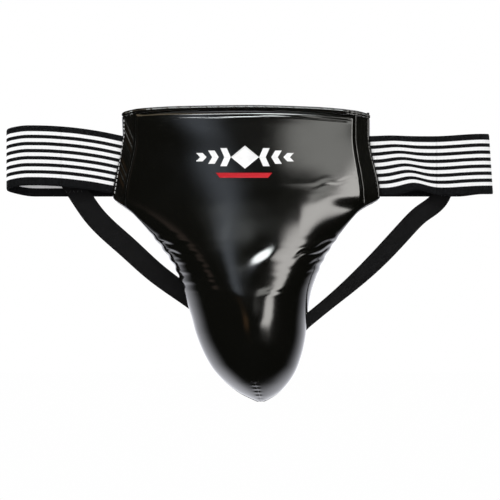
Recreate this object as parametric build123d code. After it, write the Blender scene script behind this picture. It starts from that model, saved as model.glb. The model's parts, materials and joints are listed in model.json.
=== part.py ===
from build123d import *
import math
import os

# Groin protector: a padded front guard with a hard cup inside, a wide striped
# elastic waistband laid flat as a loop, and two narrow elastic leg straps.
# Millimetres.  +X is the wearer's left, +Y points to the wearer's back,
# +Z is up.  The origin is the centre of the flattened waist loop.

# --- waistband ---------------------------------------------------------------
band_height = 60.0        # width of the striped elastic
band_thick = 1.6          # thickness of the striped elastic
front_face_y = -7.4       # inner face of the front layer of the loop
rear_face_y = 6.0         # inner face of the rear layer of the loop
left_hinge_x = -136.0     # where the band starts to swing beside the guard
right_hinge_x = 137.0
left_fold_x = -231.2      # centre of the left turn of the loop
right_fold_x = 238.7
left_fold_rise = 10.5     # the front layer climbs toward the left turn
right_fold_rise = 2.5
end_hinge_x = 62.0        # where the overlapping ends start behind the waist
tab_hinge_x = -43.0       # where the closure tab starts to peel
right_end_reach = -36.0   # how far the right end runs under the tab
tab_tip_x = 45.0
tab_inner_y = 9.8
gap = 0.2                 # running clearance between bending lengths
cloth_gap = 0.15          # clearance between sewn layers

# --- front guard ---------------------------------------------------------------
panel_back_y = -7.4       # back of the padding
flange_front_y = -12.5    # front of the flat sewn border
flange_back_y = -9.2
binding_height = 5.5      # rolled binding along the top edge
binding_front_y = -18.5
binding_back_y = -6.3
cover_thick = 1.2
lining_thick = 1.0
tip_x = 15.0              # the cup leans a little toward the wearer's left
tip_z = -233.5
foam_split_z = -46.0      # belly pad above, cup pad below

# --- cup insert ------------------------------------------------------------------
cup_centre_x = 2.0
cup_centre_z = -104.0
cup_half_width = 46.0
cup_half_height = 52.0
cup_wall = 2.4
cup_cover_depth = 6.6     # padding in front of the hard cup
vent_diameter = 5.0

# --- leg straps --------------------------------------------------------------------
strap_width = 20.0
strap_thick = 1.2
strap_low_y = -3.2        # middle of the strap where it meets the anchor
strap_high_y = 3.6        # middle of the strap where it meets the waistband
left_strap_end = (3.0, -175.0)
right_strap_end = (27.0, -183.0)

TOP_LINE = [(-123.8, 54.3), (-62.0, 59.6), (4.0, 61.0), (65.0, 58.9), (123.7, 52.1)]
LEFT_LINE = [(-118, -41.5), (-93, -68.5), (-73.5, -97.5), (-60, -133.5), (-49, -163.5), (-32, -200.5),
             (-6.7, -223.5), (tip_x, tip_z)]
RIGHT_LINE = [(tip_x, tip_z), (31.7, -223.5), (51.5, -200.5), (60, -163.5), (63.5, -133.5), (75.4, -97.5),
              (92, -68.5), (115.6, -41.5)]

# height, half width, forward depth in the middle, forward depth at the edge
PILLOW_LEVELS = [
    (66, 118, 19, 14), (40, 120, 23, 14), (5, 126, 27, 14), (-30, 134, 33, 15), (-60, 106, 43, 18),
    (-90, 82, 54, 20), (-120, 68, 62, 20), (-150, 61.5, 64, 20), (-180, 54, 59, 19), (-206, 44, 47, 17),
    (-226, 30, 32, 14), (-238, 20, 20, 11),
]


def front_plane(y):
    """Upright plane facing the viewer; sketch x is +X and sketch y is +Z."""
    return Plane(origin=(0, y, 0), x_dir=(1, 0, 0), z_dir=(0, -1, 0))


def slab(face, y_front, y_back):
    """Extrude an upright sketch between two depths."""
    return extrude(front_plane(y_back) * face, amount=y_back - y_front, dir=(0, -1, 0))


def lean(z):
    """Sideways lean of the cup below the neck."""
    if z > -80:
        return 0.0
    return tip_x * (-80 - z) / (-80 - tip_z)


def level_wire(level, inset, back_y):
    """One horizontal slice of the pillow shape, pulled in by the inset."""
    z, half, deep, edge = level
    w = half - inset
    e = max(edge - inset, 0.6 - back_y)
    d = max(deep - inset, e + 1)
    points = []
    for k in range(9):
        u = -math.cos(math.pi * k / 8)
        y = -(e + (d - e) * (1 - abs(u) ** 2.6) ** (1 / 1.4))
        points.append((lean(z) + w * u, y, z))
    front = Spline(points)
    a = (lean(z) + w, back_y, z)
    b = (lean(z) - w, back_y, z)
    return Wire([front, Line(points[-1], a), Line(a, b), Line(b, points[0])])


def pillow(inset, back_y=panel_back_y):
    """Smooth forward bulge of the belly pad and the cup."""
    wires = [level_wire(level, inset, back_y) for level in PILLOW_LEVELS]
    return Solid.make_loft(wires)


def top_edge(drop):
    """The gently arched top line of the guard, lowered by the drop."""
    return Spline([(x, z - drop) for x, z in TOP_LINE])


def below_binding(inset=0.0):
    """Everything under the rolled top binding."""
    top = top_edge(binding_height + cloth_gap + inset)
    sides = Polyline([top @ 0, (-150, 40), (-150, -250), (150, -250), (150, 40), top @ 1])
    return make_face([top, sides])


def shifted(line, amount):
    """Points of a lower outline moved inward, across the direction of travel."""
    curve = Spline(line)
    points = []
    for k in range(len(line)):
        share = k / (len(line) - 1)
        p = curve @ share
        d = curve % share
        points.append((p.X - d.Y * amount, p.Y + d.X * amount))
    return points


def guard_outline(inset):
    """Padded area inside the flat sewn side borders, pulled in by the inset."""
    left = shifted(LEFT_LINE, inset)
    right = shifted(RIGHT_LINE, inset)
    tip = (tip_x, tip_z + 1.1 * inset)
    left[-1] = tip
    right[0] = tip
    sides = Polyline([left[0], (-122 + inset, -31.7), (-111.3 + inset, 31), (-111.6 + inset, 70),
                      (111.5 - inset, 70), (111.5 - inset, 31), (123 - inset, -31), right[-1]])
    return make_face([sides, Spline(left), Spline(right)]) & below_binding(inset)


def flange_face(side):
    """Flat sewn border beside the padding, where the waistband is caught."""
    if side < 0:
        points = [(-123.6, 70), (-111, 70), (-110.7, 31), (-121.4, -31.5), (-117.4, -41.2),
                  (-118, -41.5), (-133.7, -31.7), (-123, 31)]
    else:
        points = [(123.5, 70), (111, 70), (111, 31), (122.4, -31), (115, -41.2),
                  (115.6, -41.5), (135, -31), (123.5, 31)]
    return make_face(Polyline(points, close=True)) & below_binding()


def cup_outline(grow):
    """Egg shaped outline of the hard cup, seen from the front."""
    ring = Ellipse(cup_half_width + grow, cup_half_height + grow)
    return Pos(cup_centre_x, cup_centre_z) * ring


def cup_body(grow, inset, back_y=panel_back_y):
    return slab(cup_outline(grow), -90, back_y) & pillow(inset, back_y)


def padded_shape(inset, back_y=panel_back_y):
    """Outline and bulge together: the whole padded volume at one depth."""
    return slab(guard_outline(inset), -90, back_y) & pillow(inset, back_y)


def front_cover():
    """Glossy synthetic leather skin, closed in front and open at the back."""
    skin = padded_shape(0) - padded_shape(cover_thick, panel_back_y + 5)
    for side in (-1, 1):
        skin = skin + (slab(flange_face(side), flange_front_y, flange_back_y) - padded_shape(cover_thick))
    return skin


def belly_foam():
    keep = Pos(0, -40, foam_split_z + 0.1 + 75) * Box(300, 90, 150)
    return padded_shape(cover_thick + cloth_gap) & keep


def cup_foam():
    keep = Pos(0, -40, foam_split_z - 0.1 - 110) * Box(300, 90, 220)
    pocket = cup_body(0.2, cup_cover_depth - 0.2, panel_back_y + 5)
    return (padded_shape(cover_thick + cloth_gap) & keep) - pocket


def vent_holes():
    """Drilled vents: one in the middle, two rings around it."""
    holes = [Pos(cup_centre_x, -50, cup_centre_z) * Rot(90, 0, 0) * Cylinder(vent_diameter / 2, 80)]
    for ring, count in ((0.35, 6), (0.62, 10)):
        for k in range(count):
            angle = 2 * math.pi * (k + 0.5) / count
            x = cup_centre_x + ring * cup_half_width * math.cos(angle)
            z = cup_centre_z + ring * cup_half_height * math.sin(angle)
            holes.append(Pos(x, -50, z) * Rot(90, 0, 0) * Cylinder(vent_diameter / 2, 80))
    return holes


def cup_shell():
    """Rigid moulded bowl with vents."""
    bowl = cup_body(0, cup_cover_depth) - cup_body(-cup_wall, cup_cover_depth + cup_wall, panel_back_y + 5)
    for hole in vent_holes():
        bowl = bowl - hole
    return bowl


def cup_lining():
    """Thin fabric inside the bowl."""
    outer = cup_body(-cup_wall - 0.2, cup_cover_depth + cup_wall + 0.2)
    inner = cup_body(-cup_wall - 1.0, cup_cover_depth + cup_wall + 1.0, panel_back_y + 5)
    return outer - inner


def cup_rim_pad():
    """Soft ring around the mouth of the bowl, toward the wearer."""
    ring = cup_outline(6) - cup_outline(-3.4)
    pad = slab(ring, panel_back_y + 0.2, -4.6)
    return fillet(pad.faces().sort_by(Axis.Y)[-1].edges(), 1.2)


def rear_lining():
    """Fabric backing sewn behind the padding, with an opening for the bowl."""
    face = guard_outline(0.2) + flange_face(-1) + flange_face(1)
    face = face - cup_outline(6.3)
    return slab(face, panel_back_y + 0.2, panel_back_y + 0.2 + lining_thick)


def top_binding():
    """Rolled binding along the top edge."""
    upper = top_edge(0)
    lower = top_edge(binding_height)
    ends = [Line(upper @ 0, lower @ 0), Line(upper @ 1, lower @ 1)]
    bar = slab(make_face([upper, lower] + ends), binding_front_y, binding_back_y)
    front = bar.faces().sort_by(Axis.Y)[0]
    return fillet(front.edges().filter_by(lambda e: e.length > 50), 2.4)


def print_shapes_white():
    """Plain geometric ornament: a lozenge between tapering bars."""
    shapes = [make_face(Polyline([(-15, 8.5), (-1, 20), (13, 8.5), (-1, -3)], close=True))]
    for side in (-1, 1):
        for k in range(3):
            x = -1 + side * (18 + 12 * k)
            h = 9 - 2.4 * k
            bar = [(x - side * 4, 8.5), (x, 8.5 + h), (x + side * 6.5, 8.5 + h), (x + side * 2.5, 8.5),
                   (x + side * 6.5, 8.5 - h), (x, 8.5 - h)]
            shapes.append(make_face(Polyline(bar, close=True)))
    return shapes


def print_shapes_red():
    return [make_face(Polyline([(-30, -7), (26, -7), (22, -12), (-26, -12)], close=True))]


def surface_film(shapes, low, high):
    """Thin film lying on the curved front, cut to the given shapes."""
    layer = pillow(-high) - pillow(-low, panel_back_y + 5)
    return Compound(children=[piece for s in shapes for piece in (slab(s, -90, -12) & layer).solids()])


def seam_stitches(side):
    """Thread stitches down the flat side border."""
    if side < 0:
        upper, lower = (-120.5, 48), (-130.6, -29)
    else:
        upper, lower = (120.3, 46), (131.5, -28)
    bend = (side * 120.2, 31)
    stitches = []
    for a, b in ((upper, bend), (bend, lower)):
        run = math.dist(a, b)
        count = int(run // 4)
        tilt = math.degrees(math.atan2(b[0] - a[0], a[1] - b[1]))
        for k in range(count):
            f = (k + 0.5) / count
            spot = (a[0] + (b[0] - a[0]) * f, flange_front_y - 0.35, a[1] + (b[1] - a[1]) * f)
            stitches.append(Pos(*spot) * Rot(0, -tilt, 0) * Box(0.7, 0.5, 2.8))
    return Compound(children=stitches)


def dart_stitches():
    """Stitches beside the closing seam at the tip of the cup."""
    shapes = []
    for k in range(5):
        z = -214 - 3.6 * k
        x = 8 + 7 * (k / 5) ** 1.5
        for side in (-1, 1):
            shapes.append(Pos(x + side * 2.2, z) * Rectangle(2.4, 0.9))
    return surface_film(shapes, 0.1, 0.6)


def leg_anchor():
    """Webbing patch that holds both leg straps behind the cup."""
    return Pos(15, -5.0, -181.5) * Box(54, 2.2, 33)


def anchor_stitches():
    """Box stitching around the anchor patch."""
    stitches = []
    for k in range(12):
        x = 15 - 22 + 4 * k
        stitches.append(Pos(x, -3.7, -195.5) * Box(2.8, 0.3, 0.7))
    return Compound(children=stitches)


def strip(points, y_front, y_back):
    return slab(make_face(Polyline(points, close=True)), y_front, y_back)


def band_root_tab(side):
    """Short length of the waistband caught in the side seam."""
    h = band_height / 2
    if side < 0:
        points = [(-113.6, h), (-124.2, -h), (left_hinge_x + gap, -h), (left_hinge_x + gap, h)]
    else:
        points = [(113.6, h), (125.8, -h), (right_hinge_x - gap, -h), (right_hinge_x - gap, h)]
    return strip(points, front_face_y - band_thick, front_face_y)


def band_side(side):
    """Front layer of the loop between the guard and the turn."""
    h = band_height / 2
    if side < 0:
        start, end, rise = left_hinge_x - gap, left_fold_x + gap, left_fold_rise
    else:
        start, end, rise = right_hinge_x + gap, right_fold_x - gap, right_fold_rise
    points = [(start, h), (start, -h), (end, rise - h), (end, rise + h)]
    return strip(points, front_face_y - band_thick, front_face_y)


def band_fold(side):
    """The soft turn of the loop, dropping from the front to the rear layer."""
    centre_x = left_fold_x if side < 0 else right_fold_x
    rise = left_fold_rise if side < 0 else right_fold_rise
    rear_rise = 0.0 if side < 0 else right_fold_rise
    middle_y = (front_face_y + rear_face_y) / 2
    inner = (rear_face_y - front_face_y) / 2
    sections = []
    steps = 6
    for k in range(steps + 1):
        turn = math.pi * k / steps
        radial = Vector(side * math.sin(turn), -math.cos(turn), 0)
        share = k / steps
        z = rise + (rear_rise - rise) * share
        middle = Vector(centre_x, middle_y, z) + radial * (inner + band_thick / 2)
        along = radial.cross(Vector(0, 0, 1))
        plane = Plane(origin=middle, x_dir=radial, z_dir=along)
        sections.append(plane * Rectangle(band_thick, band_height))
    return loft(sections)


def band_rear(side):
    """Rear layer of the loop from the turn to the overlapping end."""
    h = band_height / 2
    if side < 0:
        start, end, rise = left_fold_x + gap, -end_hinge_x - gap, 0.0
    else:
        start, end, rise = right_fold_x - gap, end_hinge_x + gap, right_fold_rise
    points = [(start, rise + h), (start, rise - h), (end, -h), (end, h)]
    return strip(points, rear_face_y, rear_face_y + band_thick)


def end_profile(points):
    """Extrude a plan outline over the height of the band."""
    face = make_face(Polyline(points, close=True))
    return extrude(Pos(0, 0, -band_height / 2) * face, amount=band_height, dir=(0, 0, 1))


def left_end():
    """Left end of the band, stepping outward over the right end."""
    a = -end_hinge_x + gap
    b = tab_hinge_x - gap
    y0 = rear_face_y
    y1 = tab_inner_y
    t = band_thick
    points = [(a, y0), (-57, y0), (-49, y1), (b, y1), (b, y1 + t), (-50, y1 + t), (-58, y0 + t), (a, y0 + t)]
    return end_profile(points)


def closure_tab():
    """Peeling tab that carries the hook patch."""
    face = make_face(Polyline([(tab_hinge_x + gap, -30), (tab_tip_x, -30), (tab_tip_x, 30),
                               (tab_hinge_x + gap, 30)], close=True))
    tab = slab(face, tab_inner_y, tab_inner_y + band_thick)
    return fillet(tab.edges().filter_by(Axis.Y).sort_by(Axis.X)[-2:], 8)


def right_end():
    """Right end of the band, lying under the closure tab."""
    h = band_height / 2
    points = [(right_end_reach, -h), (end_hinge_x - gap, -h), (end_hinge_x - gap, h), (right_end_reach, h)]
    return strip(points, rear_face_y, rear_face_y + band_thick)


def loop_patch():
    """Soft loop patch on the outside of the right end."""
    return Pos(4, rear_face_y + band_thick + 0.1 + 0.45, 0) * Box(74, 0.9, 52)


def hook_patch():
    """Stiff hook patch on the inside of the closure tab."""
    return Pos(2, tab_inner_y - 0.1 - 0.35, 0) * Box(66, 0.7, 50)


def tab_stitches():
    """Stitching that holds the hook patch, seen on the outside of the tab."""
    stitches = []
    for side in (-1, 1):
        for k in range(15):
            x = -30 + 4.4 * k
            stitches.append(Pos(x, tab_inner_y + band_thick + 0.2, side * 23) * Box(2.8, 0.3, 0.7))
    return Compound(children=stitches)


def strap_line(side):
    """Centre line of a leg strap below the waistband, top to bottom."""
    if side < 0:
        points = [(-162, -35), (-152, -49), (-120, -79.5), (-90.5, -106), (-62, -127), left_strap_end]
        return Spline(points, tangents=[(0.575, -0.818), (0.79, -0.61)])
    points = [(189, -35), (178, -43.5), (161, -61.5), (135, -89.5), (110, -113.5), (61, -154.5),
              right_strap_end]
    return Spline(points, tangents=[(-0.776, -0.63), (-0.79, -0.61)])


def strap_face(line):
    """Ribbon of constant width along the centre line."""
    steps = 16
    one = []
    two = []
    for k in range(steps + 1):
        p = line @ (k / steps)
        d = line % (k / steps)
        n = Vector(-d.Y, d.X) * (strap_width / 2)
        one.append(tuple(p + n)[:2])
        two.append(tuple(p - n)[:2])
    edge_one = Spline(one)
    edge_two = Spline(two)
    return make_face([edge_one, edge_two, Line(one[0], two[0]), Line(one[-1], two[-1])])


def tilt_strap(shape, side):
    """Lean a strap so that its top sits farther back than its lower end."""
    foot = left_strap_end if side < 0 else right_strap_end
    head = (-165, -30.5) if side < 0 else (194, -30.5)
    run = Vector(head[0] - foot[0], 0, head[1] - foot[1])
    angle = math.degrees(math.atan2(strap_high_y - strap_low_y, run.length))
    axis = Axis((foot[0], strap_low_y, foot[1]), run.cross(Vector(0, 1, 0)))
    return shape.rotate(axis, angle)


def leg_strap(side):
    face = strap_face(strap_line(side))
    half = strap_thick / 2
    return tilt_strap(slab(face, strap_low_y - half, strap_low_y + half), side)


def leg_strap_top(side):
    """Top of a leg strap, sewn to the inside of the rear layer."""
    line = strap_line(side)
    d = line % 0
    n = Vector(-d.Y, d.X) * (strap_width / 2)
    low = (line @ 0) - d * (2 * gap)
    high = low - d * 26
    corners = [low + n, low - n, high - n, high + n]
    face = make_face(Polyline([tuple(c)[:2] for c in corners], close=True))
    half = strap_thick / 2
    return tilt_strap(slab(face, strap_low_y - half, strap_low_y + half), side)


def strap_tack(side):
    """Bar tacks that fix the strap top to the band."""
    line = strap_line(side)
    d = line % 0
    n = Vector(-d.Y, d.X)
    stitches = []
    turn = math.degrees(math.atan2(d.Y, d.X))
    for back in (13, 23):
        for k in range(4):
            p = (line @ 0) - d * back + n * (4.4 * (k - 1.5))
            mark = Pos(p.X, strap_low_y - strap_thick / 2 - 0.25, p.Y) * Rot(0, 90 - turn, 0) * Box(2.8, 0.3, 0.8)
            stitches.append(tilt_strap(mark, side))
    return Compound(children=stitches)


def build_parts():
    return {
        "front_cover": front_cover(),
        "belly_foam": belly_foam(),
        "cup_foam": cup_foam(),
        "cup_shell": cup_shell(),
        "cup_lining": cup_lining(),
        "cup_rim_pad": cup_rim_pad(),
        "rear_lining": rear_lining(),
        "top_binding": top_binding(),
        "ornament_white": surface_film(print_shapes_white(), 0.1, 0.35),
        "ornament_red": surface_film(print_shapes_red(), 0.1, 0.35),
        "left_seam_stitches": seam_stitches(-1),
        "right_seam_stitches": seam_stitches(1),
        "tip_stitches": dart_stitches(),
        "leg_anchor": leg_anchor(),
        "anchor_stitches": anchor_stitches(),
        "band_left_tab": band_root_tab(-1),
        "band_right_tab": band_root_tab(1),
        "band_left_side": band_side(-1),
        "band_right_side": band_side(1),
        "band_left_fold": band_fold(-1),
        "band_right_fold": band_fold(1),
        "band_left_rear": band_rear(-1),
        "band_right_rear": band_rear(1),
        "band_left_end": left_end(),
        "band_right_end": right_end(),
        "closure_tab": closure_tab(),
        "hook_patch": hook_patch(),
        "loop_patch": loop_patch(),
        "tab_stitches": tab_stitches(),
        "left_leg_strap": leg_strap(-1),
        "right_leg_strap": leg_strap(1),
        "left_leg_strap_top": leg_strap_top(-1),
        "right_leg_strap_top": leg_strap_top(1),
        "left_strap_tack": strap_tack(-1),
        "right_strap_tack": strap_tack(1),
    }


os.makedirs("parts", exist_ok=True)
for name, shape in build_parts().items():
    export_step(shape, f"parts/{name}.step")
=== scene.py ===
import json
import math

import bpy
import numpy as np
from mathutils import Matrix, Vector


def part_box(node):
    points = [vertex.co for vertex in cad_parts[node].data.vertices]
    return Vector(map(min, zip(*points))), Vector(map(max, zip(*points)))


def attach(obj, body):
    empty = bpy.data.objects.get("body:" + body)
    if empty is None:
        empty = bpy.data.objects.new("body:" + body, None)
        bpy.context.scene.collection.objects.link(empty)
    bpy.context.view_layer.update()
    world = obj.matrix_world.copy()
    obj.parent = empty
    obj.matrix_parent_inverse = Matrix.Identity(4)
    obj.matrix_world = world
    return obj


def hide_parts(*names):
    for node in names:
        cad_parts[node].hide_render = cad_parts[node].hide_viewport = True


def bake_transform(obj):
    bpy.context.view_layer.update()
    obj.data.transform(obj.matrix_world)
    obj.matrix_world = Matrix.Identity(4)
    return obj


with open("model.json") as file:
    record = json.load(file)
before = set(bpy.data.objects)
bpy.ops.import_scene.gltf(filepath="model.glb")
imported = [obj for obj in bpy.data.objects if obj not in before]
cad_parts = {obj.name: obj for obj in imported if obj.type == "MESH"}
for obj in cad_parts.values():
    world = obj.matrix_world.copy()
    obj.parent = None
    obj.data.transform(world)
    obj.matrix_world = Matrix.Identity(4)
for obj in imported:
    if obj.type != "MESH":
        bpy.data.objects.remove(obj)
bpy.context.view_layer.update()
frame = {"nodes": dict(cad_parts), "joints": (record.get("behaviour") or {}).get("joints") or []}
MM = 0.001

# ------------------------------------------------------------------ places from the frame, in millimetres
PIVOT = {j["name"]: Vector(j["pos_m"]) / MM for j in frame["joints"]}
LEFT_FOLD = PIVOT["left_fold_open"].x
RIGHT_FOLD = PIVOT["right_fold_open"].x
FOLD_Y = PIVOT["left_fold_open"].y
END_X = PIVOT["right_end_turn"].x
PEEL_X = PIVOT["closure_peel"].x


def mid(node, axis):
    """Middle of a CAD node along one axis."""
    low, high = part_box(node)
    return (low[axis] + high[axis]) / 2 / MM


def half_size(node, axis):
    """Half the size of a CAD node along one axis."""
    low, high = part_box(node)
    return (high[axis] - low[axis]) / 2 / MM


BAND_Y = mid("band_left_tab", 1)
REAR_Y = mid("band_right_end", 1)
TAB_Y = mid("closure_tab", 1)
TAB_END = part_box("closure_tab")[1].x / MM
RIGHT_END_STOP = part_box("band_right_end")[0].x / MM
BAND_HALF = half_size("band_right_end", 2)
BAND_THICK = 1.6
TIP_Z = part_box("front_cover")[0].z / MM - 1.0
BACK_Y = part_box("front_cover")[1].y / MM
LINING_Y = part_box("rear_lining")[1].y / MM
CUP_X, CUP_Z = mid("cup_shell", 0), mid("cup_shell", 2)
CUP_HALF_X, CUP_HALF_Z = half_size("cup_shell", 0), half_size("cup_shell", 2)


# ------------------------------------------------------------------ small helpers
def smooth(a, b, x):
    """0 before a, 1 after b, a soft step between."""
    t = np.clip((np.asarray(x, float) - a) / (b - a), 0, 1)
    return t * t * (3 - 2 * t)


def curve_through(xs, ys):
    """Monotone cubic through a few levels."""
    xs = np.array(xs, float)
    ys = np.array(ys, float)
    h = np.diff(xs)
    s = np.diff(ys) / h
    m = np.zeros(len(xs))
    m[1:-1] = np.where(s[:-1] * s[1:] > 0, 2 * s[:-1] * s[1:] / (s[:-1] + s[1:] + 1e-12), 0)
    m[0], m[-1] = s[0], s[-1]

    def f(x):
        x = np.asarray(x, float)
        i = np.clip(np.searchsorted(xs, x) - 1, 0, len(h) - 1)
        t = np.clip((x - xs[i]) / h[i], 0, 1)
        low = ys[i] * (1 + 2 * t) * (1 - t) ** 2 + m[i] * h[i] * t * (1 - t) ** 2
        return low + ys[i + 1] * t * t * (3 - 2 * t) + m[i + 1] * h[i] * t * t * (t - 1)

    return f


def make_object(name, verts, faces):
    """Smooth-shaded mesh object from points in millimetres."""
    mesh = bpy.data.meshes.new(name)
    mesh.from_pydata((np.asarray(verts, float) * MM).tolist(), [], faces)
    mesh.update()
    mesh.polygons.foreach_set("use_smooth", [True] * len(mesh.polygons))
    obj = bpy.data.objects.new(name, mesh)
    bpy.context.scene.collection.objects.link(obj)
    return obj


def grid_faces(rows, cols, closed=False, offset=0):
    """Quads between the rows of a grid; a closed grid joins its last column to its first."""
    faces = []
    last = cols if closed else cols - 1
    for j in range(rows - 1):
        for i in range(last):
            k = (i + 1) % cols
            a, b = offset + j * cols, offset + (j + 1) * cols
            faces.append((a + i, a + k, b + k, b + i))
    return faces


def tube_faces(rows, around, offset=0, flip=False):
    """Side and flat ends of a tube; flip turns the ends over."""
    first = tuple(range(offset, offset + around))
    last = tuple(range(offset + (rows - 1) * around, offset + rows * around))
    ends = [first, last[::-1]] if flip else [first[::-1], last]
    return grid_faces(rows, around, True, offset) + ends


def sheet_faces(n):
    """Front, back and narrow sides of a closed sheet of n by n points on either face."""
    front = grid_faces(n, n)
    back = [tuple(v + n * n for v in face)[::-1] for face in front]
    rim = list(range(n)) + [n - 1 + n * j for j in range(1, n)]
    rim += [n * n - 1 - i for i in range(1, n)] + [n * (n - 1 - j) for j in range(1, n - 1)]
    sides = [(rim[k - 1], rim[k], rim[k] + n * n, rim[k - 1] + n * n) for k in range(len(rim))]
    return front + back + sides


def flat_ring(count):
    """Once around a flat band: share of its half width, then which face."""
    levels = np.linspace(-1, 1, count)
    return [(t, 1) for t in levels] + [(t, -1) for t in levels[::-1]]


def edge_share(room, radius):
    """Share of a band's thickness that is left this close to its rounded edge."""
    near = min(1.0, room / radius)
    return 0.35 + 0.65 * math.sqrt(max(0.0, 1 - (1 - near) ** 2))


def paint(obj, material):
    """Give an object one material."""
    obj.data.materials.clear()
    obj.data.materials.append(material)


def attribute(obj, name, values):
    """Store one number per point for the materials to read."""
    layer = obj.data.attributes.new(name, "FLOAT", "POINT")
    layer.data.foreach_set("value", np.asarray(values, np.float32))


def settle(obj, body, slot, *nodes):
    """Ride on a body and hide the CAD nodes that the piece stands for."""
    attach(obj, body)
    stand_for(obj, slot, *nodes)


def stand_for(obj, slot, *nodes):
    """Hide the CAD nodes that a piece stands for."""
    if nodes:
        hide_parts(*nodes)


# ------------------------------------------------------------------ materials
class Nodes:
    """Short way to write a node tree."""

    def __init__(self, name):
        self.mat = bpy.data.materials.new(name)
        self.mat.use_nodes = True
        self.tree = self.mat.node_tree
        self.out = self.tree.nodes["Principled BSDF"]

    def add(self, kind):
        return self.tree.nodes.new(kind)

    def put(self, socket, value):
        if isinstance(value, bpy.types.NodeSocket):
            self.tree.links.new(value, socket)
        elif isinstance(value, tuple) and len(value) == 3 and socket.type == "RGBA":
            socket.default_value = (*value, 1)
        else:
            socket.default_value = value

    def make(self, kind, inputs, output, **settings):
        """Add a node, set it up, fill its inputs and return one of its outputs."""
        node = self.add(kind)
        for key, value in settings.items():
            setattr(node, key, value)
        for key, value in inputs.items():
            self.put(node.inputs[key], value)
        return node.outputs[output]

    def math(self, op, a, b=0.0):
        return self.make("ShaderNodeMath", {0: a, 1: b}, 0, operation=op)

    def total(self, first, *others):
        """Weighted sum of (value, weight) pairs."""
        result = self.math("MULTIPLY", *first)
        for value, weight in others:
            result = self.math("ADD", result, self.math("MULTIPLY", value, weight))
        return result

    def wave(self, value, period):
        """0..1 sine wave with the given period."""
        turn = self.math("SINE", self.math("MULTIPLY", value, 2 * math.pi / period))
        return self.math("MULTIPLY", self.math("ADD", turn, 1.0), 0.5)

    def mix(self, share, a, b):
        return self.make("ShaderNodeMix", {0: share, 6: a, 7: b}, 2, data_type="RGBA")

    def place(self):
        return self.add("ShaderNodeTexCoord").outputs["Object"]

    def attr(self, name):
        return self.make("ShaderNodeAttribute", {}, "Fac", attribute_name=name)

    def noise(self, vector, scale, detail=3.0, rough=0.5):
        inputs = {"Scale": scale, "Detail": detail, "Roughness": rough, "Vector": vector}
        return self.make("ShaderNodeTexNoise", inputs, "Fac")

    def cells(self, vector, scale):
        return self.make("ShaderNodeTexVoronoi", {"Scale": scale, "Vector": vector}, "Distance")

    def ramp(self, value, low, high, out_low=0.0, out_high=1.0):
        inputs = {"Value": value, "From Min": low, "From Max": high, "To Min": out_low, "To Max": out_high}
        return self.make("ShaderNodeMapRange", inputs, "Result", interpolation_type="SMOOTHSTEP")

    def bump(self, height, distance, strength=1.0, under=None):
        inputs = {"Strength": strength, "Distance": distance, "Height": height}
        if under is not None:
            inputs["Normal"] = under
        return self.make("ShaderNodeBump", inputs, "Normal")

    def set(self, **values):
        """Fill inputs of the main shader and return the material."""
        names = {"color": "Base Color", "rough": "Roughness", "normal": "Normal",
                 "spec": "Specular IOR Level", "sheen": "Sheen Weight", "sheen_rough": "Sheen Roughness"}
        for key, value in values.items():
            self.put(self.out.inputs[names[key]], value)
        return self.mat


def skin_material(name, tone, rough):
    """Glossy synthetic leather: fine pebble grain, cloudy sheen, light scuffs."""
    n = Nodes(name)
    v = n.place()
    pebble = n.cells(v, 1300.0)
    fine = n.noise(v, 900.0, 2.0)
    cloud = n.noise(v, 26.0, 4.0, 0.6)
    scuff = n.ramp(n.noise(v, 150.0, 5.0, 0.7), 0.62, 0.8)
    color = n.mix(cloud, tone, tuple(1.6 * c for c in tone))
    color = n.mix(n.math("MULTIPLY", scuff, 0.1), color, (0.02, 0.02, 0.019))
    cloudy = n.ramp(cloud, 0.3, 0.7, rough - 0.02, rough + 0.04)
    normal = n.bump(fine, 0.00005, 0.12, n.bump(pebble, 0.00006, 0.2))
    rough = n.math("ADD", cloudy, n.math("MULTIPLY", scuff, 0.05))
    return n.set(color=color, rough=rough, normal=normal, spec=0.5)


def band_material():
    """Ribbed elastic: white lines woven into black, fine ribs across the band. Lengths in millimetres."""
    n = Nodes("striped_elastic")
    s = n.attr("along")
    t = n.attr("across")
    v = n.place()
    rib = n.wave(s, 1.4)
    saw = n.math("MULTIPLY", n.math("SUBTRACT", rib, 0.5), 0.22)
    wander = n.math("MULTIPLY", n.math("SUBTRACT", n.noise(v, 55.0, 2.0), 0.5), 0.4)
    high = n.math("ADD", n.math("ADD", t, saw), wander)
    pitch, white_half, blur, last = 7.02, 1.76, 0.12, 23.3
    white = n.ramp(n.math("PINGPONG", high, pitch / 2), white_half - blur, white_half + blur, 1.0, 0.0)
    inside = n.ramp(n.math("ABSOLUTE", high), last, last + 0.3, 1.0, 0.0)
    mask = n.math("MULTIPLY", white, inside)
    course = n.wave(t, 0.62)
    fuzz = n.noise(v, 1400.0, 2.0)
    worn = n.noise(v, 40.0, 3.0)
    white_color = n.mix(rib, n.mix(worn, (0.77, 0.77, 0.785), (0.86, 0.86, 0.87)), (0.96, 0.96, 0.96))
    black_color = n.mix(rib, (0.0012, 0.0013, 0.0016), (0.0055, 0.006, 0.0072))
    color = n.mix(mask, black_color, white_color)
    height = n.total((rib, 0.9), (course, 0.5), (fuzz, 0.5), (mask, 0.6))
    return n.set(color=color, rough=0.8, normal=n.bump(height, 0.0002, 0.5), spec=0.1, sheen=0.01,
                 sheen_rough=0.4)


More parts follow.
